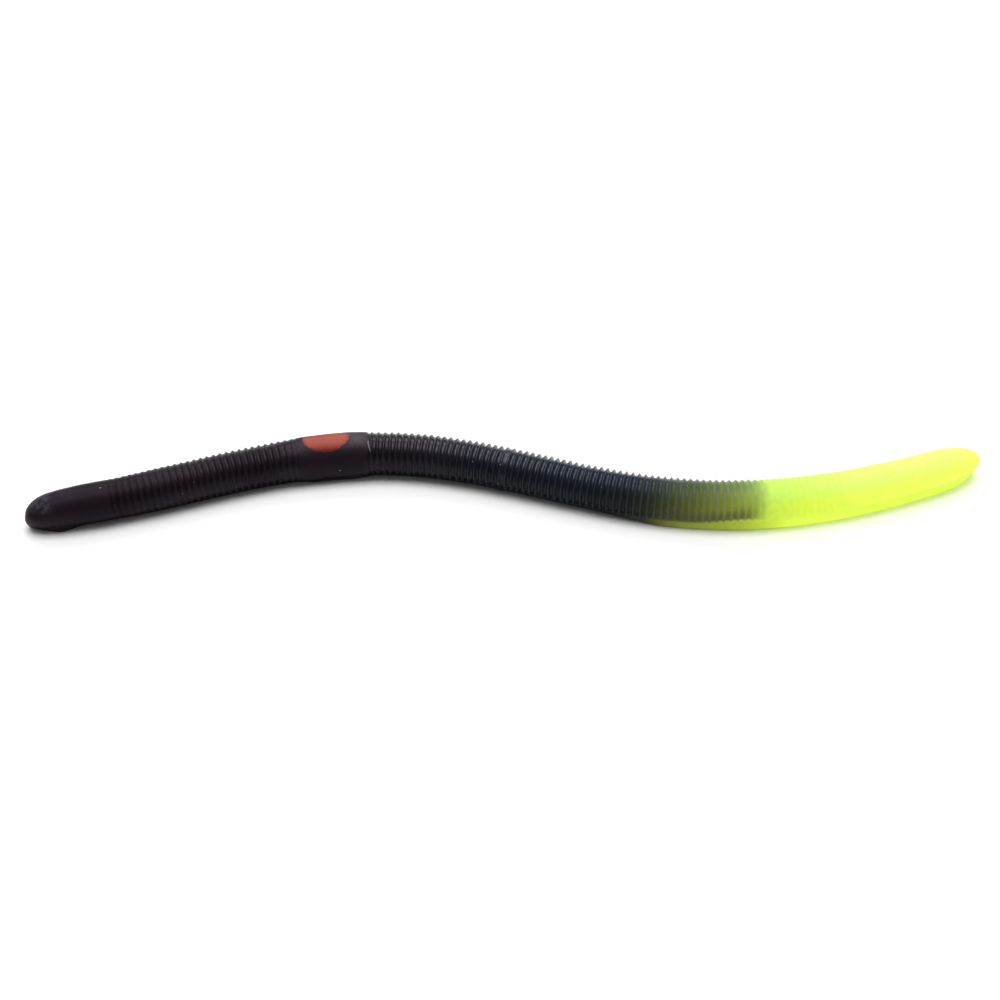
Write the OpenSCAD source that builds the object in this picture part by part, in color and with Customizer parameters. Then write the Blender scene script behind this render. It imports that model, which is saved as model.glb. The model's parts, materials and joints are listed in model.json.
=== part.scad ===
// Soft plastic worm: a straight-tailed, ringed finesse worm, lying on its flat underside.
//
// The worm runs along +X from the nose to the tail tip, +Y is to its left and +Z is up. It is cut
// in its ring grooves into short stiff lengths. Each joint is a ball on one length in a socket
// of the next, so the lengths bend past each other without meeting. The saddle is the root: every
// other length carries its ball on the end nearer the saddle.

/* [Rings] */
// Distance from one ring to the next
ring_pitch = 1; // [0.9:0.05:1.2]
// Thickness of a ring at its crest
ring_w = 0.45; // [0.3:0.05:0.6]
// Depth of the groove between two rings
groove_d = 0.45; // [0.2:0.05:0.6]

/* [Body] */
// Radius over the ring crests
crest_r = 3.5; // [3.3:0.05:3.6]
// Radius of the smooth nose
nose_r = 3.3; // [3.1:0.05:3.5]
// Radius of the smooth saddle
saddle_r = 3.6; // [3.4:0.05:3.6]
// Radius where the smooth tail starts
tail_r = 3.35; // [3.2:0.05:3.5]
// How much each smooth tail length is thinner than the one before
tail_taper = 0.15; // [0:0.05:0.2]
// Height of the middle of the body above the flat underside
axis_h = 2.9; // [2.8:0.05:3]
// Height of the smooth band along both lower edges, below the ends of the rings
band_h = 0.85; // [0.5:0.05:1.2]
// How far the band leans in at the bottom
band_draft = 0.35; // [0.1:0.05:0.5]

/* [Ends] */
// Length of the rounding of the nose
nose_round = 6.5; // [4:0.5:9]
// Length of the rounding of the tail tip
tail_round = 5.5; // [4:0.5:7]

/* [Dot] */
// Length of the coloured dot on the saddle
dot_l = 7.2; // [5:0.1:8]
// Width of the dot, seen from above
dot_w = 4.4; // [3:0.1:6]
// How deep the dot's plastic goes
dot_d = 0.5; // [0.3:0.1:1]
// Where the middle of the dot is, behind the saddle's front joint
dot_at = 4.2; // [3.8:0.1:6]

/* [Tail pour] */
// Height of the tongue of bright plastic that runs forward under the dark plastic
tongue_h = 1.1; // [0.9:0.05:1.4]

/* [Joints] */
// Radius of the balls
ball_r = 3.95; // [3.95:0.01:4.1]
// Gap between a ball and its socket
ball_gap = 0.12; // [0.1:0.01:0.2]

/* [Hidden] */

dark = "#1f1a20";
bright = "#dfff4d";
terracotta = "#a54a3b";

// Every length from the nose to the tail tip, in ring pitches
pitches = [13, 7, 7, 7, 8, 11, 8, 8, 8, 8, 8, 8, 8, 7, 6, 6, 8, 8, 7.5];
// The way each length points at rest, in degrees turned to the left of +X
headings = [
    13.5, 18.5, 20.5, 19.5, 15.5, 7.5, -3, -11.5, -16.5, -18.5,
    -16.5, -11.5, -4.5, 2.5, 8.5, 13, 17.5, 21.5, 25
];
nose_i = 0;
saddle_i = 5;
tail_i = 16;
last_i = len(pitches) - 1;
// The nose's tip, which puts the middle of the worm's box over the origin
nose_tip = [-73.19, -7.59];

// How far the top of the band stays inside the crests, and how far the rings run down into the band
band_inset = 0.05;
band_lap = 0.4;
round_steps = 12;
dot_steps = 36;
// Farther than any part of the worm is from the origin
reach = 100;
eps = 0.01;
$fn = 64;

function length_of(i) = pitches[i] * ring_pitch;
function way(i) = [cos(headings[i]), sin(headings[i])];
// Where length i starts: the centre of its front joint, or the nose's tip
function start_of(i) = i == 0 ? nose_tip : start_of(i - 1) + length_of(i - 1) * way(i - 1);
// Half the band's width at its top, just inside the crests
function band_half(r) = sqrt(r * r - pow(axis_h - band_h, 2)) - band_inset;

// Puts a shape drawn along +Z, with its top towards +Y, on length i
module on_length(i) {
    at = start_of(i);
    translate([at.x, at.y, axis_h]) rotate(headings[i]) rotate([90, 0, 90]) children();
}

// The round upper part of a section, down to inside the band
module round_outline(r) {
    intersection() {
        circle(r);
        translate([-2 * r, band_h - band_lap - axis_h]) square([4 * r, 4 * r]);
    }
}

// The smooth band and the flat underside, which stand as proud as the crests
module band_outline(r) {
    top = band_half(r);
    foot = top - band_draft;
    polygon([
        [-top, band_h - axis_h], [-foot, -axis_h], [foot, -axis_h], [top, band_h - axis_h]
    ]);
}

module outline(r) {
    round_outline(r);
    band_outline(r);
}

module smooth_bar(r, from, to) {
    translate([0, 0, from]) linear_extrude(to - from) outline(r);
}

module ringed_bar(r, from, to) {
    translate([0, 0, from]) linear_extrude(to - from) {
        round_outline(r - groove_d);
        band_outline(r);
    }
    edge = ring_w / ring_pitch / 2;
    first = ceil(from / ring_pitch - 0.5 + edge);
    last = floor(to / ring_pitch - 0.5 - edge);
    for (k = [first : last])
        translate([0, 0, (k + 0.5) * ring_pitch - ring_w / 2])
            linear_extrude(ring_w) round_outline(r);
}

module body_bar(r, ringed, from, to) {
    if (ringed) ringed_bar(r, from, to);
    else smooth_bar(r, from, to);
}

module socket(at) {
    translate([0, 0, at]) sphere(ball_r + ball_gap);
}

// A length behind the saddle: its ball is at its front end
module rear_length(i, r, ringed) {
    l = length_of(i);
    on_length(i) difference() {
        intersection() {
            body_bar(r, ringed, -ball_r, l);
            union() {
                sphere(ball_r);
                cylinder(r = 2 * ball_r, h = l);
            }
        }
        if (i < last_i) socket(l);
    }
}

// A length in front of the saddle: its ball is at its rear end
module front_length(i, r, ringed) {
    l = length_of(i);
    on_length(i) difference() {
        intersection() {
            body_bar(r, ringed, 0, l + ball_r);
            union() {
                translate([0, 0, l]) sphere(ball_r);
                cylinder(r = 2 * ball_r, h = l);
            }
        }
        if (i > nose_i) socket(0);
    }
}

// A round bar along +Z whose end at the origin is rounded as half an ellipsoid
module rounded_bar(r, round_l, l) {
    rotate_extrude() polygon([
        for (k = [0 : round_steps])
            [r * sin(90 * k / round_steps), round_l * (1 - cos(90 * k / round_steps))],
        [r, l],
        [0, l]
    ]);
}

// The layer of the saddle that the dot takes the place of, up to the saddle's sockets
module dot_layer() {
    l = length_of(saddle_i);
    on_length(saddle_i) intersection() {
        translate([0, 0, dot_at]) rotate([-90, 0, 0]) linear_extrude(2 * saddle_r) polygon([
            for (k = [0 : dot_steps - 1])
                [dot_w / 2 * cos(360 * k / dot_steps), dot_l / 2 * sin(360 * k / dot_steps)]
        ]);
        difference() {
            cylinder(r = saddle_r, h = l);
            translate([0, 0, -eps]) cylinder(r = saddle_r - dot_d, h = l + 2 * eps);
            socket(0);
            socket(l);
        }
    }
}

// Keeps what is above, or below, the top of the bright tongue
module above_tongue() {
    intersection() {
        children();
        translate([-reach, -reach, tongue_h]) cube([2 * reach, 2 * reach, reach]);
    }
}

module below_tongue() {
    intersection() {
        children();
        translate([-reach, -reach, tongue_h - reach]) cube([2 * reach, 2 * reach, reach]);
    }
}

module nose() {
    color(dark) intersection() {
        front_length(nose_i, nose_r, false);
        on_length(nose_i) rounded_bar(nose_r, nose_round, length_of(nose_i) + ball_r + eps);
    }
}
module front_rings_1() { color(dark) front_length(1, crest_r, true); }
module front_rings_2() { color(dark) front_length(2, crest_r, true); }
module front_rings_3() { color(dark) front_length(3, crest_r, true); }
module front_rings_4() { color(dark) front_length(4, crest_r, true); }

module saddle() {
    l = length_of(saddle_i);
    color(dark) difference() {
        on_length(saddle_i) difference() {
            smooth_bar(saddle_r, 0, l);
            socket(0);
            socket(l);
        }
        dot_layer();
    }
}
module saddle_dot() { color(terracotta) dot_layer(); }

module rear_rings_1() { color(dark) rear_length(6, crest_r, true); }
module rear_rings_2() { color(dark) rear_length(7, crest_r, true); }
module rear_rings_3() { color(dark) rear_length(8, crest_r, true); }
module rear_rings_4() { color(dark) rear_length(9, crest_r, true); }
module rear_rings_5() { color(dark) rear_length(10, crest_r, true); }
module rear_rings_6() { color(dark) rear_length(11, crest_r, true); }
module rear_rings_7() { color(dark) above_tongue() rear_length(12, crest_r, true); }
module rear_rings_8() { color(dark) above_tongue() rear_length(13, crest_r, true); }
module bright_tongue_1() { color(bright) below_tongue() rear_length(12, crest_r, true); }
module bright_tongue_2() { color(bright) below_tongue() rear_length(13, crest_r, true); }
module faint_rings_1() { color(bright) rear_length(14, crest_r, true); }
module faint_rings_2() { color(bright) rear_length(15, crest_r, true); }

module tail_1() { color(bright) rear_length(tail_i, tail_r, false); }
module tail_2() { color(bright) rear_length(tail_i + 1, tail_r - tail_taper, false); }
module tail_tip() {
    r = tail_r - 2 * tail_taper;
    l = length_of(last_i);
    color(bright) intersection() {
        rear_length(last_i, r, false);
        on_length(last_i) translate([0, 0, l]) mirror([0, 0, 1])
            rounded_bar(r, tail_round, l + ball_r + eps);
    }
}

nose();
front_rings_1();
front_rings_2();
front_rings_3();
front_rings_4();
saddle();
saddle_dot();
rear_rings_1();
rear_rings_2();
rear_rings_3();
rear_rings_4();
rear_rings_5();
rear_rings_6();
rear_rings_7();
rear_rings_8();
bright_tongue_1();
bright_tongue_2();
faint_rings_1();
faint_rings_2();
tail_1();
tail_2();
tail_tip();
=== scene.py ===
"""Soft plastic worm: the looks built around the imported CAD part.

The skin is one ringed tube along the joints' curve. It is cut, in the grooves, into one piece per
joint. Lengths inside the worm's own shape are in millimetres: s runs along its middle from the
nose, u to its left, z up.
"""

import json
import math

import bpy
import numpy as np
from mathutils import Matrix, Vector

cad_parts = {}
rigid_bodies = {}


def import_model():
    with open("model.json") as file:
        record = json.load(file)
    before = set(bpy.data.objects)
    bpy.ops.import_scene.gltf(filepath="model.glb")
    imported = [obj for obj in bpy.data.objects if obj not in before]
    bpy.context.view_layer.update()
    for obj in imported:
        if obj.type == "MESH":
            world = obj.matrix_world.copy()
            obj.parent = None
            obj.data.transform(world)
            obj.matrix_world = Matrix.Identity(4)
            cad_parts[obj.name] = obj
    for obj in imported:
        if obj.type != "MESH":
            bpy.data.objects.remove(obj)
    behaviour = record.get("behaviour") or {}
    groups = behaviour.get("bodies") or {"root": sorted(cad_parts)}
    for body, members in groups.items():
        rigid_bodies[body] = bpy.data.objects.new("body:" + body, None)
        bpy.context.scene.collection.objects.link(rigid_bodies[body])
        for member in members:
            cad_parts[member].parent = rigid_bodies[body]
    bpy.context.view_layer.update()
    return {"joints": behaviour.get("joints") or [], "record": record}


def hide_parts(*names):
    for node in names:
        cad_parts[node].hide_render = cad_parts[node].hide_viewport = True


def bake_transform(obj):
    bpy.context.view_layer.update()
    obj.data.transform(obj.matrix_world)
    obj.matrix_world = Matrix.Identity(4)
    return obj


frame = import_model()

MM = 0.001
BODIES = (
    ["nose"] + [f"front_rings_{i}" for i in range(1, 5)] + ["saddle"]
    + [f"rear_rings_{i}" for i in range(1, 9)] + ["faint_rings_1", "faint_rings_2"]
    + ["tail_1", "tail_2", "tail_tip"]
)
# The CAD nodes of the bodies whose skin stands for two of them
NODES_OF = {
    "rear_rings_7": ["rear_rings_7", "bright_tongue_1"],
    "rear_rings_8": ["rear_rings_8", "bright_tongue_2"],
}
# Where one piece of skin meets the next, in the stiff middle of each body but the end ones
SEAMS = [17, 24, 31, 38, 50.5, 57, 65, 73, 81, 89, 97, 105, 112, 119, 125, 132, 140]
BLEND_CLEAR = 0.9       # how far each bend stays from the seams
BLEND_REACH = 3.2       # and how far it reaches from its joint at most
TIP_LENGTH = 7.5        # the tail tip, behind its joint
TIP_HEADING = 25.0      # degrees to the left of +X
AXIS_H = 2.9            # height of the middle of the body
RINGED = [(13, 42), (53, 128)]
RING_COUNT = 160        # one ring for each mm, and a few to spare

rng = np.random.default_rng(11)


# ---------------------------------------------------------------- centreline
def spline_through(points):
    """The natural cubic spline through the points: a function of s that gives place and slope."""
    points = np.array(points, float)
    knots = np.concatenate([[0], np.cumsum(np.linalg.norm(np.diff(points, axis=0), axis=1))])
    h = np.diff(knots)
    steps = np.diff(points, axis=0) / h[:, None]
    rows = len(knots)
    matrix, right = np.eye(rows), np.zeros_like(points)
    for i in range(1, rows - 1):
        matrix[i, i - 1:i + 2] = h[i - 1], 2 * (h[i - 1] + h[i]), h[i]
        right[i] = 6 * (steps[i] - steps[i - 1])
    bend = np.linalg.solve(matrix, right)

    def at(s):
        s = np.atleast_1d(np.clip(s, 0, knots[-1]))
        i = np.clip(np.searchsorted(knots, s) - 1, 0, rows - 2)
        w = h[i][:, None]
        a = (knots[i + 1] - s)[:, None] / w
        b = 1 - a
        point = a * points[i] + b * points[i + 1]
        point += ((a**3 - a) * bend[i] + (b**3 - b) * bend[i + 1]) * w**2 / 6
        slope = steps[i] + ((1 - 3 * a**2) * bend[i] + (3 * b**2 - 1) * bend[i + 1]) * w / 6
        return point, slope

    return at, knots


def from_above(item):
    """Where a joint or a mount is, seen from above, in mm."""
    return np.array(item["pos_m"][:2]) / MM


def joint_between(a, b):
    return next(j for j in frame["joints"] if {j["parent"], j["child"]} == {a, b})


mounts = {m["name"]: m for m in frame["record"]["mounts"]}
joint_points = [from_above(joint_between(a, b)) for a, b in zip(BODIES, BODIES[1:])]
tip_way = np.array([math.cos(math.radians(TIP_HEADING)), math.sin(math.radians(TIP_HEADING))])
centreline, KNOTS = spline_through(
    [from_above(mounts["nose_hook_point"]), *joint_points, joint_points[-1] + TIP_LENGTH * tip_way]
)
LENGTH = KNOTS[-1]
JOINT_S = KNOTS[1:-1]
EDGES = [0, *SEAMS, LENGTH]


def place(s, u, z):
    """Straightened coordinates to the row frame, in metres. s, u and z have the same shape."""
    point, slope = centreline(s.ravel())
    slope /= np.linalg.norm(slope, axis=1)[:, None]
    point = point + np.stack([-slope[:, 1], slope[:, 0]], 1) * u.ravel()[:, None]
    return np.column_stack([point, z.ravel()]) * MM


def place_middle(s, z=AXIS_H):
    """The same for one point in the plane that halves the worm."""
    return place(np.array([float(s)]), np.zeros(1), np.array([z]))[0]


# ---------------------------------------------------------------- section
def smooth(x, low, high):
    t = np.clip((x - low) / (high - low), 0, 1)
    return t * t * (3 - 2 * t)


def lump(x, height, middle, width):
    return height * np.exp(-((x - middle) / width) ** 2)


def along(stations, values):
    """A quantity given at stations along the worm, as a function of s."""
    return lambda s: np.interp(s, stations, values)


crest_radius = along(
    [0, 13, 20, 26, 34, 42, 44, 50, 53, 65, 72, 86, 98, 105, 112, 120, 128, 137, 147, 152],
    [3.0, 3.12, 3.3, 3.34, 3.4, 3.46, 3.52, 3.58, 3.5, 3.5, 3.46, 3.44, 3.5, 3.52, 3.52, 3.44,
     3.32, 3.15, 2.95, 2.85],
)
groove_depth = along(
    [13, 14, 20, 27, 35, 38, 42, 53, 55, 64, 69, 80, 92, 100, 106, 113, 115, 119, 124, 128],
    [0.04, 0.1, 0.15, 0.26, 0.34, 0.32, 0.1, 0.22, 0.26, 0.3, 0.42, 0.5, 0.48, 0.38, 0.34, 0.28,
     0.12, 0.08, 0.05, 0.02],
)
# How far the rings' lower ends sweep towards the tail, as a slope
rake = along([10, 14, 40, 46, 50, 53], [0, 0.05, 0.06, 0.03, 0, 0])
# Each ring's height, as a share of the depth of the grooves beside it
ring_rise = rng.normal(1, 0.035, RING_COUNT)
# A ring's section: half its width, how blunt its tip is, and the power of its flanks' curve
FIN_HALF_WIDTH, FIN_TIP, FIN_POWER = 0.37, 0.035, 1.4
# Where the grooves end above the band, how much higher that is on a crest, and over what height
GROOVE_END, CREST_END_RISE, GROOVE_FADE = 0.05, 0.16, 0.22
# The smooth band below the rings: the height of its top, and how far in its foot is
band_top = along(
    [0, 13, 41, 44, 51, 54, 92, 99, 128, 152], [0.6, 0.5, 0.5, 0.8, 0.8, 0.5, 0.5, 1.4, 1.4, 1.2]
)
band_inset = along(
    [0, 41, 44, 51, 54, 90, 99, 113, 116, 152],
    [0.9, 0.9, 0.75, 0.75, 0.95, 0.95, 0.75, 0.75, 0.62, 0.62],
)
# Its curve: the share of the inset and the share of the height
BAND = np.array([[0.0, 0.8], [0.05, 0.56], [0.18, 0.33], [0.36, 0.14], [0.62, 0.03], [1.0, 0.0]])
# How much the flanks draw in towards the underside, as a share of the radius, and the angle from
# the top, in radians, at which they start to
tuck = along(
    [0, 13, 41, 44, 51, 54, 87, 99, 152], [0.05, 0.08, 0.1, 0.03, 0.04, 0.12, 0.1, 0.0, 0.0]
)
TUCK_FROM = 1.25
# The section's other points: shares of the arc's angle, and of the foot's half width
ARC = np.concatenate([np.linspace(0, 0.9, 31), [0.92, 0.94, 0.957, 0.972, 0.986, 1.0]])
UNDERSIDE = [0.72, 0.4, 0.0]
HALF = len(ARC) + len(BAND) + len(UNDERSIDE)
AROUND = 2 * HALF - 2
# The rounding of the nose and the tail tip: length and power of the curve on the upper side, the
# same on the lower side, and how far the tip is above the middle of the body
NOSE = (12.0, 2.3, 4.0, 2.4, -1.4)
TAIL = (8.5, 2.0, 7.6, 2.0, -0.5)
LIFT_POWER = 0.8
# Height, station and width: how far two rings are squeezed together, as a share of the groove
# between them, the lump beneath them, the one on top of the tail, and the lip under the nose
FLAW, FLAW_LUMP = (0.6, 75.0, 0.24), (0.3, 74.2, 0.55)
TAIL_LUMP, NOSE_LIP = (0.08, 133.2, 0.9), (1.15, 5.1, 1.9)
# Rows of points: how many there are for each mm of the rings and of the two ends, which of them
# the smooth lengths keep, how long the ends are, and the least gap to a seam
ROWS_PER_MM, SMOOTH_KEEPS = 12, 3
NOSE_FINE, TAIL_FINE = 7, 9
ROW_GAP = 0.02
# The rows at a tip, as distances from it, and the least gap to the next row
TIP_ROWS, TIP_ROW_GAP = np.array([0.006, 0.025, 0.06, 0.12, 0.2, 0.3]), 0.05


def ring_share(s):
    """0 in the middle of a groove and 1 on a ring's crest."""
    off = np.sqrt((s - np.floor(s) - 0.5) ** 2 + FIN_TIP**2) - FIN_TIP
    return np.clip(1 - off / FIN_HALF_WIDTH, 0, 1) ** FIN_POWER


def ringed(s):
    return sum(((s >= a) & (s <= b)).astype(float) for a, b in RINGED)


def end_share(distance, length, power):
    """What is left of the section at a distance from a tip, where it is rounded over length."""
    return (1 - np.clip(1 - distance / length, 0, 1) ** power) ** (1 / power)


def round_ends(s, u, z):
    """The section's points after the rounding of the two ends."""
    for distance, (up_length, up_power, low_length, low_power, lift) in (
        (s, NOSE), (LENGTH - s, TAIL)
    ):
        distance = np.clip(distance, 0, None)
        up = end_share(distance, up_length, up_power)
        low = end_share(distance, low_length, low_power)
        middle = AXIS_H + lift * (1 - low) ** LIFT_POWER
        u = u * np.sqrt(up * low)
        z = middle + (z - AXIS_H) * np.where(z > AXIS_H, up, low)
    return u, z


def half_section(s):
    """Half of the section, from the top round the left side to the middle of the underside, at
    each station: u, z and the share of the ring's height, each (stations, points)."""
    s = s[:, None]
    radius = crest_radius(s)
    top = band_top(s)
    drawn_in = radius * (1 - tuck(s))
    band_angle = np.arccos((top - AXIS_H) / drawn_in)
    angle = ARC[None, :] * band_angle
    outer = radius * (1 - tuck(s) * smooth(angle, TUCK_FROM, band_angle))
    arc_z = AXIS_H + outer * np.cos(angle)
    crest = 1 - ringed(s) * (1 - ring_share(s))
    groove_end = top + GROOVE_END + CREST_END_RISE * crest
    open_share = smooth(arc_z, groove_end, groove_end + GROOVE_FADE)
    depth = groove_depth(s) * ringed(s) * open_share
    rise = ring_rise[np.clip(np.floor(s).astype(int), 0, RING_COUNT - 1)]
    flaw = lump(s, *FLAW) * smooth(arc_z, 2.6, 4.6)
    r = outer - depth * ((1 - crest) * (1 - flaw) - crest * (rise - 1))
    edge = drawn_in * np.sin(band_angle)
    foot = edge - band_inset(s)
    u = np.concatenate([
        r * np.sin(angle), edge + (foot - edge) * BAND[None, :, 0],
        foot * np.array(UNDERSIDE)[None, :],
    ], 1)
    z = np.concatenate([
        AXIS_H + r * np.cos(angle), top * BAND[None, :, 1], np.zeros((len(s), len(UNDERSIDE))),
    ], 1)
    crest = np.broadcast_to(crest, arc_z.shape) * open_share + (1 - open_share)
    rest = np.ones((len(s), u.shape[1] - crest.shape[1]))
    return u, z, np.concatenate([crest, rest], 1)


def uneven(s, u, z):
    """Small waves in the surface of a soft casting, outward in mm."""
    wave = 0.5 * np.sin(1.3 * s + 0.9 * u + 0.4) * np.sin(0.8 * z + 0.37 * s)
    wave += 0.35 * np.sin(0.61 * s - 1.1 * z + 2.0) + 0.25 * np.sin(2.3 * s + 1.9 * z - 1.4 * u)
    return 0.022 * wave


def surface(rows):
    """The skin's points at each row: place in metres, straightened coordinates and ring share."""
    u, z, crest = half_section(rows)
    u = np.concatenate([u, -u[:, -2:0:-1]], 1)
    z = np.concatenate([z, z[:, -2:0:-1]], 1)
    crest = np.concatenate([crest, crest[:, -2:0:-1]], 1)
    s = rows[:, None] - rake(rows)[:, None] * (z - AXIS_H)
    # The waves stop above the underside. Two of the lumps are on the right side only
    grow = uneven(s, u, z) * smooth(z, 0.2, 1.6)
    grow = grow + lump(s, *FLAW_LUMP) * lump(z, 1, 0.7, 0.5) * (u < 0)
    grow = grow + lump(s, *TAIL_LUMP) * smooth(z, 3.0, 5.5)
    grow = grow + lump(s, *NOSE_LIP) * smooth(-z, -1.5, -0.3) * (u < 0)
    grow = grow / (np.hypot(u, z - AXIS_H) + 1e-9)
    u, z = u * (1 + grow), np.maximum(AXIS_H + (z - AXIS_H) * (1 + grow), 0)
    u, z = round_ends(np.broadcast_to(rows[:, None], u.shape), u, z)
    return place(s, u, z), np.stack([s.ravel(), u.ravel(), z.ravel()], 1), crest.ravel()


def rows_between(a, b):
    """Stations from a to b: close on the rings and the rounded ends, wider on the smooth."""
    rows = set()
    for k in range(int(math.floor(a)) - 1, int(math.ceil(b)) + 1):
        on_rings = any(low <= k + 0.5 <= high for low, high in RINGED)
        near_end = k < NOSE_FINE or k > LENGTH - TAIL_FINE
        for i in range(ROWS_PER_MM):
            if on_rings or near_end or i % SMOOTH_KEEPS == 0:
                rows.add(round(k + i / ROWS_PER_MM, 6))
    inner = (row for row in rows if row - a > ROW_GAP and b - row > ROW_GAP)
    return np.array([a, *sorted(inner), b])


# ---------------------------------------------------------------- meshes
def new_object(name, vertices, faces, coordinates, crest, sharp_rings=()):
    """A piece with its patterns' coordinates stored, and with sharp edges along the rings."""
    mesh = bpy.data.meshes.new(name)
    mesh.from_pydata([tuple(v) for v in vertices], [], faces)
    mesh.update()
    mesh.attributes.new("worm_at", "FLOAT_VECTOR", "POINT").data.foreach_set(
        "vector", np.asarray(coordinates, np.float32).ravel()
    )
    mesh.attributes.new("crest", "FLOAT", "POINT").data.foreach_set(
        "value", np.asarray(crest, np.float32)
    )
    mesh.polygons.foreach_set("use_smooth", [True] * len(mesh.polygons))
    if sharp_rings:
        wanted = {
            frozenset(pair) for ring in sharp_rings for pair in zip(ring, ring[1:] + ring[:1])
        }
        sharp = [frozenset(e.vertices) in wanted for e in mesh.edges]
        mesh.attributes.new("sharp_edge", "BOOLEAN", "EDGE").data.foreach_set("value", sharp)
    piece = bpy.data.objects.new(name, mesh)
    bpy.context.scene.collection.objects.link(piece)
    return piece


def skin_piece(name, a, b):
    """The closed piece of skin from station a to b. Flat caps close it at the seams."""
    rows = rows_between(a, b)
    is_nose, is_tail = a == 0, b == LENGTH
    if is_nose:
        rows = np.concatenate([TIP_ROWS, rows[rows > TIP_ROWS[-1] + TIP_ROW_GAP]])
    if is_tail:
        rows = np.concatenate([rows[rows < b - TIP_ROWS[-1] - TIP_ROW_GAP], b - TIP_ROWS[::-1]])
    vertices, coordinates, crest = (list(values) for values in surface(rows))
    n = len(rows)
    faces = [
        (i * AROUND + j, i * AROUND + (j + 1) % AROUND,
         (i + 1) * AROUND + (j + 1) % AROUND, (i + 1) * AROUND + j)
        for i in range(n - 1) for j in range(AROUND)
    ]
    sharp = []
    for is_tip, ring, s, rounding in (
        (is_nose, list(range(AROUND))[::-1], a, NOSE),
        (is_tail, list(range((n - 1) * AROUND, n * AROUND)), b, TAIL),
    ):
        middle = AXIS_H + (rounding[-1] if is_tip else 0)
        centre = len(vertices)
        vertices.append(place_middle(s, middle))
        coordinates.append(np.array([s, 0, middle]))
        crest.append(1.0)
        faces += [(ring[j], ring[(j + 1) % AROUND], centre) for j in range(AROUND)]
        if not is_tip:
            sharp.append(ring)
    return new_object(name, vertices, faces, coordinates, crest, sharp)


# ---------------------------------------------------------------- materials
class Nodes:
    """Short words for building a node tree."""

    def __init__(self, tree):
        self.tree = tree

    def new(self, kind, operation=None):
        node = self.tree.nodes.new("ShaderNode" + kind)
        if operation:
            node.operation = operation
        return node

    def put(self, socket, value):
        if isinstance(value, bpy.types.NodeSocket):
            self.tree.links.new(value, socket)
        else:
            socket.default_value = value

    def put_all(self, sockets, values):
        for socket, value in zip(sockets, values):
            self.put(socket, value)

    def attribute(self, name, output):
        node = self.new("Attribute")
        node.attribute_name = name
        return node.outputs[output]

    def calc(self, operation, *values):
        node = self.new("Math", operation)
        self.put_all(node.inputs, values)
        return node.outputs[0]

    def product(self, value, *others):
        for other in others:
            value = self.calc("MULTIPLY", value, other)
        return value

    def measure(self, operation, *vectors):
        """A number from one vector or two."""
        node = self.new("VectorMath", operation)
        self.put_all(node.inputs, vectors)
        return node.outputs["Value"]

    def xyz(self, vector):
        node = self.new("SeparateXYZ")
        self.put(node.inputs[0], vector)
        return node.outputs

    def spread(self, value, low, high, to_low=0.0, to_high=1.0):
        """value from low..high to to_low..to_high, with soft ends."""
        node = self.new("MapRange")
        node.interpolation_type = "SMOOTHSTEP"
        self.put_all(node.inputs, (value, low, high, to_low, to_high))
        return node.outputs[0]

    def mix(self, share, a, b, blend="MIX"):
        node = self.new("Mix")
        node.data_type, node.blend_type = "RGBA", blend
        self.put(node.inputs[0], share)
        for socket, value in ((node.inputs[6], a), (node.inputs[7], b)):
            self.put(socket, (*value, 1.0) if isinstance(value, tuple) else value)
        return node.outputs[2]

    def tinted(self, colour, tint):
        return self.mix(1.0, colour, tint, "MULTIPLY")

    def ramp(self, value, stops):
        """A colour, or a number as a grey, given at stops and even between them."""
        node = self.new("ValToRGB")
        elements = node.color_ramp.elements
        elements.remove(elements[1])
        elements[0].position = stops[0][0]
        for i, (position, level) in enumerate(stops):
            element = elements.new(position) if i else elements[0]
            element.color = (*(level if isinstance(level, tuple) else (level,) * 3), 1)
        self.put(node.inputs[0], value)
        return node.outputs[0]

    def along(self, station, *stops):
        """A ramp whose stops are stations along the worm."""
        share = self.calc("DIVIDE", station, LENGTH)
        return self.ramp(share, [(s / LENGTH, level) for s, level in stops])

    def noise(self, vector, scale, detail=2.0, roughness=0.5):
        node = self.new("TexNoise")
        self.put(node.inputs["Vector"], vector)
        self.put(node.inputs["Scale"], scale)
        self.put(node.inputs["Detail"], detail)
        self.put(node.inputs["Roughness"], roughness)
        return node.outputs["Fac"]

    def specks(self, vector, scale, radius, share):
        """Round specks: in that share of the cells of a grid, each about radius in size."""
        node = self.new("TexVoronoi")
        self.put(node.inputs["Vector"], vector)
        self.put(node.inputs["Scale"], scale)
        dot = self.spread(node.outputs["Distance"], radius * scale * 0.5, radius * scale, 1, 0)
        chosen = self.calc("GREATER_THAN", self.xyz(node.outputs["Color"])[0], 1 - share)
        return self.product(dot, chosen)

    def bump(self, height, distance, strength):
        node = self.new("Bump")
        self.put(node.inputs["Strength"], strength)
        self.put(node.inputs["Distance"], distance)
        self.put(node.inputs["Height"], height)
        return node.outputs[0]

    def set(self, **values):
        """Values for the material's shader, by the names of its inputs."""
        shader = self.tree.nodes["Principled BSDF"]
        for name, value in values.items():
            self.put(shader.inputs[name.replace("_", " ")], value)


def new_material(name):
    material = bpy.data.materials.new(name)
    material.use_nodes = True
    return material, Nodes(material.node_tree)


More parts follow.
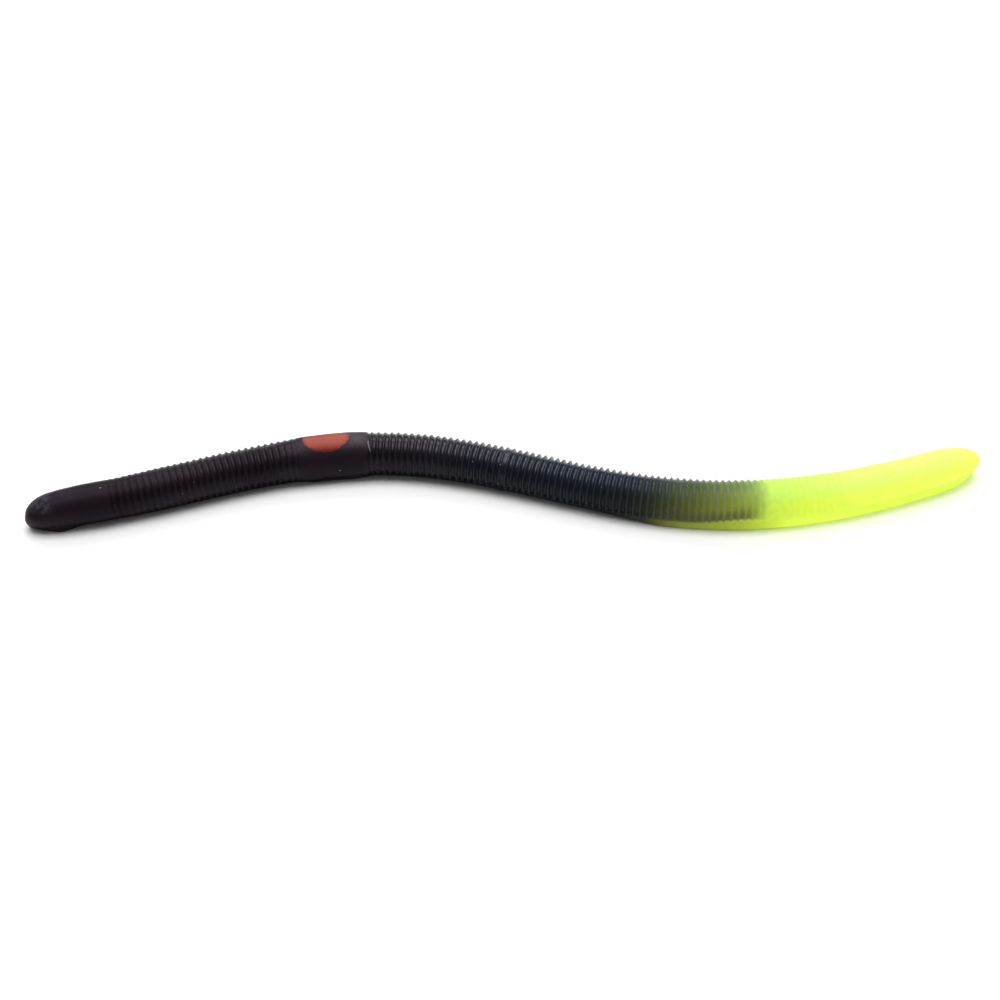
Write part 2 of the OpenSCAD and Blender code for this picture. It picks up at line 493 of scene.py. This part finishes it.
# Specks of dirt: where they are, and their size
SPECKS = (
    ((11.8, -0.48, 6.05), 0.17), ((15.5, -1.83, 5.65), 0.11), ((25.3, -2.64, 5.0), 0.14),
    ((26.2, -1.9, 5.7), 0.16), ((31.2, -3.2, 4.0), 0.12), ((47.0, -3.5, 1.5), 0.14),
    ((48.3, -3.5, 2.9), 0.15), ((51.2, -3.13, 4.36), 0.09), ((71.7, -3.4, 2.42), 0.1),
    ((74.5, -2.12, 5.6), 0.15), ((74.5, -3.4, 2.6), 0.14), ((90.5, -2.26, 5.45), 0.12),
    ((93.0, -2.64, 5.1), 0.14),
)
PLASTIC_IOR, BUMP_DISTANCE = 1.5, 0.00006


def body_colour(n, at, station):
    """The two pours, and what lies on them. station is s with the pours' uneven border in it."""
    crest = n.attribute("crest", "Fac")
    s, u, z = n.xyz(at)
    # Grooves are painted darker than the crests: partly the pours' own colours, partly painted
    # shade in the grooves
    groove = n.along(
        station,
        (0, (0.0048, 0.0028, 0.0050)), (56, (0.0055, 0.0036, 0.0064)),
        (66, (0.007, 0.0072, 0.011)), (88, (0.0085, 0.0105, 0.014)), (94, (0.013, 0.015, 0.014)),
        (97, (0.020, 0.022, 0.017)), (100, (0.043, 0.052, 0.013)), (102.5, (0.078, 0.088, 0.010)),
        (105, (0.105, 0.120, 0.011)), (108, (0.160, 0.185, 0.016)), (111, (0.225, 0.270, 0.020)),
        (112.8, (0.30, 0.38, 0.030)), (114.0, (0.42, 0.56, 0.045)), (115.2, (0.61, 0.83, 0.06)),
        (120, (0.70, 0.90, 0.065)), (127, (0.82, 0.96, 0.095)), (138, (0.90, 0.98, 0.115)),
        (151, (0.92, 0.98, 0.135)),
    )
    ring = n.along(
        station,
        (0, (0.0112, 0.0068, 0.0110)), (50, (0.0118, 0.0078, 0.0122)),
        (60, (0.012, 0.0108, 0.0148)), (75, (0.015, 0.0175, 0.024)), (90, (0.018, 0.023, 0.028)),
        (95, (0.027, 0.032, 0.031)), (98, (0.040, 0.043, 0.030)), (102, (0.084, 0.089, 0.038)),
        (105, (0.120, 0.128, 0.044)), (108, (0.172, 0.186, 0.055)), (111, (0.240, 0.275, 0.062)),
        (112.8, (0.33, 0.40, 0.072)), (114.0, (0.46, 0.57, 0.10)), (115.2, (0.61, 0.80, 0.10)),
        (120, (0.73, 0.92, 0.08)), (127, (0.83, 0.97, 0.10)), (138, (0.90, 0.98, 0.115)),
        (151, (0.92, 0.98, 0.135)),
    )
    colour = n.mix(n.spread(crest, 0.04, 0.65), groove, ring)
    # The bright pour shows along the lower edge, ahead of the dark pour's end
    over = n.calc("SUBTRACT", z, n.spread(s, 103.5, 112.5, 0.0, 0.95))
    strip = n.product(n.spread(s, 96, 100.5), n.spread(over, 1.2, 1.75, 1, 0))
    strip_colour = n.along(
        s,
        (97, (0.06, 0.06, 0.02)), (100, (0.14, 0.145, 0.025)), (102.5, (0.21, 0.225, 0.028)),
        (105, (0.245, 0.28, 0.035)), (108, (0.30, 0.355, 0.04)), (111, (0.38, 0.46, 0.045)),
        (113.5, (0.50, 0.63, 0.055)), (118, (0.72, 0.93, 0.08)),
    )
    colour = n.mix(strip, colour, strip_colour)
    # Just above it the colour is darker, more so in the grooves than on the crests
    low = n.product(
        n.spread(over, 1.5, 1.9), n.spread(over, 2.4, 4.1, 1, 0),
        n.spread(s, 98, 101), n.spread(s, 111, 114.5, 1, 0), n.spread(crest, 0.0, 1.0, 0.64, 0.4),
    )
    colour = n.mix(low, colour, (0.052, 0.050, 0.034))
    # The upper side of the thin part is tinted bluer: partly the thin dark pour's own tint, partly
    # a painted bluish sheen from the light above. It is darker along the very top
    upper_tint_and_sheen = n.product(n.spread(z, 4.2, 6.0), n.spread(s, 60, 100), n.spread(s, 113, 118, 1, 0))
    colour = n.mix(upper_tint_and_sheen, colour, n.tinted(colour, (0.88, 0.98, 1.5)))
    spine = n.product(
        n.spread(z, 5.95, 6.45), n.spread(s, 80, 100), n.spread(s, 111, 115.5, 1, 0)
    )
    colour = n.mix(spine, colour, n.tinted(colour, (0.60, 0.74, 1.2)))
    # The upper side of the tail is painted a little greener and paler: a painted sheen where the
    # light from above falls
    painted_top_sheen = n.product(n.spread(z, 4.2, 6.0), n.spread(s, 114, 118))
    colour = n.mix(painted_top_sheen, colour, n.tinted(colour, (0.87, 1.0, 1.5)))
    # Greyer, frosted plastic on the end of the nose, with a painted highlight over its top
    frost_and_highlight = n.product(
        n.spread(s, 0.3, 1.3), n.spread(s, 2.6, 5.0, 1, 0), n.spread(z, 3.5, 4.8),
        n.spread(n.noise(at, 1.6, 3.0), 0.3, 0.75),
    )
    colour = n.mix(frost_and_highlight, colour, (0.066, 0.059, 0.080))
    # Greyer, rubbed plastic on top of the saddle, most of all behind the dot, with a painted
    # highlight along the top
    rubbed_and_highlight = n.product(
        n.spread(s, 41, 43.5), n.spread(s, 51.5, 54, 1, 0), n.spread(z, 5.8, 6.55),
        n.spread(s, 48.5, 50.5, 0.5, 1.0),
        n.spread(n.noise(at, 1.8, 4.0, 0.6), 0.2, 0.75, 0.35, 1.0),
    )
    colour = n.mix(rubbed_and_highlight, colour, (0.075, 0.066, 0.076))
    # A painted glint along the wall at the saddle's rear edge, where the rings begin
    off = n.calc("ABSOLUTE", n.calc("SUBTRACT", s, n.spread(z, 5.2, 6.3, 53.45, 53.0)))
    painted_glint = n.product(
        n.spread(off, 0.03, 0.14, 1, 0), n.spread(z, 5.35, 5.6), n.spread(z, 6.05, 6.2, 1, 0),
        n.calc("LESS_THAN", u, 0.0),
    )
    colour = n.mix(painted_glint, colour, (0.24, 0.22, 0.24))
    for speck_at, radius in SPECKS:
        speck = n.spread(n.measure("DISTANCE", at, speck_at), radius * 0.4, radius, 1, 0)
        colour = n.mix(speck, colour, (0.26, 0.25, 0.26))
    # Fine dust
    dust = n.calc("MAXIMUM", n.specks(at, 0.9, 0.085, 0.12), n.specks(at, 0.5, 0.11, 0.05))
    dust = n.product(dust, n.spread(s, 96, 110, 0.75, 0.0))
    colour = n.mix(dust, colour, (0.42, 0.4, 0.42))
    # A cloudy tone over all of it
    tone = n.new("CombineXYZ")
    n.put_all(tone.inputs, [n.spread(n.noise(at, 1.1, 3.0), 0.25, 0.75, 0.965, 1.025)] * 3)
    return n.tinted(colour, tone.outputs[0])


def body_plastic():
    """The dark pour, the bright pour, and the short length where the dark thins out over it."""
    material, n = new_material("worm_plastic")
    at = n.attribute("worm_at", "Vector")
    s, _, z = n.xyz(at)
    # The end of the dark pour is rounded: its lower part stops sooner than its upper part
    early = n.spread(z, 0.9, 2.6, 1.4, 0.0)
    wander = n.product(n.calc("SUBTRACT", n.noise(at, 0.35, 3.0), 0.5), 2.0)
    station = n.calc("ADD", n.calc("ADD", s, early), wander)
    colour = body_colour(n, at, station)

    # The bright plastic glows: painted light that stands in for the light it lets through,
    # strongest near the table
    bright = n.spread(station, 94, 106)
    glow_near_table = n.product(n.spread(z, 0.0, 2.8, 0.2, 0.0), n.spread(s, 112, 126))
    rough = n.along(
        s, (0, 0.44), (13, 0.40), (25, 0.34), (41, 0.34), (43, 0.46), (52, 0.46), (54, 0.22),
        (95, 0.22), (110, 0.36), (130, 0.5),
    )
    grain = n.noise(at, 5.0, 3.0, 0.6)
    gloss = n.along(
        s, (0, 0.15), (5, 0.12), (9, 0.08), (14, 0.09), (25, 0.17), (41, 0.19), (43, 0.11),
        (52, 0.11), (54, 0.29), (65, 0.39), (75, 0.47), (84, 0.42), (95, 0.25), (102, 0.14),
        (112, 0.12), (130, 0.2),
    )
    # The flanks are less glossy than the top
    gloss = n.product(gloss, n.spread(z, 3.5, 6.4, n.spread(s, 50, 56, 0.7, 0.35), 1.0))
    shine = n.along(
        s, (0, (1.0, 0.78, 1.0)), (56, (1.0, 0.80, 1.0)), (70, (0.9, 0.9, 1.05)),
        (92, (0.85, 0.95, 1.1)), (104, (0.9, 1.0, 0.9)), (120, (1.0, 1.0, 0.8)),
    )
    n.set(
        Base_Color=n.mix(bright, colour, n.tinted(colour, (0.36, 0.40, 0.44))),
        Emission_Color=colour, Emission_Strength=n.product(bright, n.calc("ADD", glow_near_table, 0.74)),
        Roughness=n.product(rough, n.spread(grain, 0.3, 0.7, 0.85, 1.15)),
        Specular_IOR_Level=gloss, Specular_Tint=shine,
        Normal=n.bump(n.noise(at, 3.2, 4.0, 0.6), BUMP_DISTANCE, 0.5), IOR=PLASTIC_IOR,
    )
    return material


def dot_plastic():
    """The dot's own pour. On the dot, crest is the share of the way from its middle to its rim."""
    material, n = new_material("dot_plastic")
    at = n.attribute("worm_at", "Vector")
    rim = n.attribute("crest", "Fac")
    _, u, z = n.xyz(at)
    cloud = n.noise(at, 0.9, 3.0, 0.6)
    colour = n.ramp(cloud, [
        (0.3, (0.13, 0.010, 0.008)), (0.5, (0.155, 0.013, 0.010)), (0.7, (0.20, 0.022, 0.017))
    ])
    # Paler over the top of the saddle, where the dot is thin, with a painted sheen there too; and
    # speckled
    colour = n.mix(n.spread(z, 5.8, 6.5, 0.0, 0.7), colour, (0.42, 0.12, 0.09))
    speckle = n.spread(n.noise(at, 6.0), 0.5, 0.75, 0.0, 0.3)
    colour = n.mix(speckle, colour, (0.34, 0.08, 0.06))
    # The rim is darker on the right side
    edge = n.calc("ADD", rim, n.spread(n.noise(at, 2.2, 3.0), 0.3, 0.7, -0.06, 0.06))
    edge = n.product(n.spread(edge, 0.8, 1.0, 0.0, 0.7), n.spread(u, 0.2, 1.5, 1, 0))
    colour = n.mix(edge, colour, (0.07, 0.02, 0.02))
    n.set(
        Base_Color=colour, Roughness=n.spread(cloud, 0.3, 0.7, 0.5, 0.62),
        Specular_IOR_Level=0.06, Specular_Tint=(1.0, 0.7, 0.7, 1.0),
        Normal=n.bump(n.noise(at, 4.0, 4.0, 0.6), BUMP_DISTANCE, 0.6), IOR=PLASTIC_IOR,
    )
    return material


def white_table():
    """Matte white. Away from the worm it glows a little, as if the lamps lit all of it."""
    material, n = new_material("white_table")
    away = n.measure("LENGTH", n.new("TexCoord").outputs["Object"])
    n.set(
        Base_Color=(0.97, 0.97, 0.97, 1), Roughness=0.8, Specular_IOR_Level=0.0,
        Emission_Color=(1, 1, 1, 1), Emission_Strength=n.spread(away, 0.2, 0.7, 0.0, 0.9),
    )
    return material


# ---------------------------------------------------------------- pieces
def blend_across(piece, i):
    """Bakes the piece's transform into its mesh. The span of a bend at joint i is worked out but
    not used.
    """
    start = max(JOINT_S[i] - BLEND_REACH, EDGES[i] + BLEND_CLEAR)
    end = min(JOINT_S[i] + BLEND_REACH, EDGES[i + 1] - BLEND_CLEAR)
    points = [Vector(place_middle(s)) for s in (start, end)]
    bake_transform(piece)


plastic = body_plastic()
for i, body in enumerate(BODIES[:-1]):
    piece = skin_piece(f"skin_{body}", EDGES[i], EDGES[i + 1])
    piece.data.materials.append(plastic)
    blend_across(piece, i)
    stands_for = NODES_OF.get(body, [body]) + (["tail_tip"] if i == len(BODIES) - 2 else [])
    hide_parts(*stands_for)

DOT_S, DOT_HALF_LENGTH, DOT_HALF_ANGLE = 46.4, 3.85, 43.0
DOT_TURN, DOT_SLANT = 4.0, -0.4         # degrees to the left of the top, and more per mm of s
DOT_PROUD, DOT_RIM_DEPTH, DOT_DEEP = 0.035, 0.01, 0.3
DOT_REAR_POWER = 0.8                    # below 1, the dot's rear end is blunter than its front end
DOT_RINGS, DOT_AROUND = 14, 72
DOT_JOINT = BODIES.index("saddle") - 1  # the dot's front end is in the bend of this joint


def dot_piece():
    """The dot: a thin closed lens of its own plastic, let into the top of the saddle. Its layers
    of points go from the middle of its top out to its rim, and in to the middle underneath."""
    turn = np.linspace(0, 2 * math.pi, DOT_AROUND, endpoint=False)
    wobble = 1 + 0.02 * np.sin(3 * turn + 1) + 0.015 * np.sin(5 * turn + 2.2)
    wobble = wobble + 0.01 * np.sin(11 * turn)
    back = np.cos(turn)
    back = np.sign(back) * np.abs(back) ** np.where(back > 0, DOT_REAR_POWER, 1.0)
    outward = np.arange(DOT_RINGS + 1) / DOT_RINGS
    inward = 1 - np.arange(1, DOT_RINGS + 1) / DOT_RINGS
    rim = np.concatenate([outward, inward])[:, None]
    deep = np.concatenate([np.zeros_like(outward), DOT_DEEP * (1 - inward**2)])[:, None]
    s = DOT_S + DOT_HALF_LENGTH * rim * wobble * back
    angle = DOT_TURN + DOT_SLANT * (s - DOT_S) + DOT_HALF_ANGLE * rim * wobble * np.sin(turn)
    angle = np.radians(angle)
    r = crest_radius(s) + DOT_PROUD * (1 - rim**6) - DOT_RIM_DEPTH - deep
    u, z = r * np.sin(angle), AXIS_H + r * np.cos(angle)
    swell = uneven(s, u, z) / r
    u, z = u * (1 + swell), AXIS_H + (z - AXIS_H) * (1 + swell)
    # The first and the last layer are single points: one vertex each stands for them
    last = len(rim) - 1
    used = [0, *range(DOT_AROUND, last * DOT_AROUND + 1)]

    def vertex(layer, b):
        return 0 if layer == 0 else 1 + (layer - 1) * DOT_AROUND + b % DOT_AROUND

    faces = [
        (vertex(a, b), vertex(a + 1, b), vertex(a + 1, b + 1), vertex(a, b + 1))
        for a in range(1, last - 1) for b in range(DOT_AROUND)
    ]
    for b in range(DOT_AROUND):
        faces.append((0, vertex(1, b), vertex(1, b + 1)))
        faces.append((vertex(last, 0), vertex(last - 1, b + 1), vertex(last - 1, b)))
    return new_object(
        "saddle_dot_plastic", place(s, u, z)[used], faces,
        np.stack([s.ravel(), u.ravel(), z.ravel()], 1)[used],
        np.broadcast_to(rim, s.shape).ravel()[used],
    )


dot = dot_piece()
dot.data.materials.append(dot_plastic())
blend_across(dot, DOT_JOINT)
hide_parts("saddle_dot")

# ---------------------------------------------------------------- floor, light, camera
FLOOR_HALF, FLOOR_DROP = 12.0, 0.00003
floor_mesh = bpy.data.meshes.new("floor")
floor_mesh.from_pydata(
    [(x * FLOOR_HALF, y * FLOOR_HALF, 0) for x, y in ((-1, -1), (1, -1), (1, 1), (-1, 1))],
    [], [(0, 1, 2, 3)],
)
floor = bpy.data.objects.new("floor", floor_mesh)
floor.location.z = -FLOOR_DROP
bpy.context.scene.collection.objects.link(floor)
floor.data.materials.append(white_table())

# A sky that lights the worm from above and behind, and looks white to the camera
SKY_WAY = (0.0, 0.5, 0.86)
world = bpy.data.worlds.new("studio")
bpy.context.scene.world = world
world.use_nodes = True
world.node_tree.nodes.clear()
air = Nodes(world.node_tree)
towards = air.measure("DOT_PRODUCT", air.new("TexCoord").outputs["Generated"], SKY_WAY)
sky, seen, either = air.new("Background"), air.new("Background"), air.new("MixShader")
air.put(sky.inputs["Strength"], air.spread(towards, 0.1, 0.8, 0.10, 0.55))
air.put(seen.inputs["Strength"], 1.0)
air.put(seen.inputs["Color"], (1, 1, 1, 1))
is_seen = air.new("LightPath").outputs["Is Camera Ray"]
air.put_all(either.inputs, (is_seen, sky.outputs[0], seen.outputs[0]))
air.put(air.new("OutputWorld").inputs["Surface"], either.outputs[0])


def softbox(name, position, width, depth, radiance):
    """A lamp that faces the origin."""
    light = bpy.data.lights.new(name, "AREA")
    light.shape, light.size, light.size_y = "RECTANGLE", width, depth
    light.energy = radiance * math.pi * width * depth
    lamp = bpy.data.objects.new(name, light)
    lamp.location = position
    way = Vector() - Vector(position)
    lamp.rotation_euler = way.to_track_quat("-Z", "Y").to_euler()
    lamp.visible_camera = False
    bpy.context.scene.collection.objects.link(lamp)


softbox("softbox_above", (0.0, 0.05, 0.65), 0.85, 0.40, 3.8)
softbox("softbox_behind", (0.0, 0.50, 0.52), 0.95, 0.2, 4.5)

CAMERA_TARGET = Vector((-0.001683, -0.004645, AXIS_H * MM))
CAMERA_ELEVATION = math.radians(42.0)
CAMERA_DISTANCE = 0.24476
camera_data = bpy.data.cameras.new("camera")
camera_data.sensor_width, camera_data.lens = 36.0, 58.2
camera_data.clip_start = 0.001
camera = bpy.data.objects.new("camera", camera_data)
camera.location = CAMERA_TARGET + CAMERA_DISTANCE * Vector(
    (0, -math.cos(CAMERA_ELEVATION), math.sin(CAMERA_ELEVATION))
)
camera.rotation_euler = (math.pi / 2 - CAMERA_ELEVATION, 0, 0)
bpy.context.scene.collection.objects.link(camera)
bpy.context.scene.camera = camera
bpy.context.scene.view_settings.view_transform = "Standard"
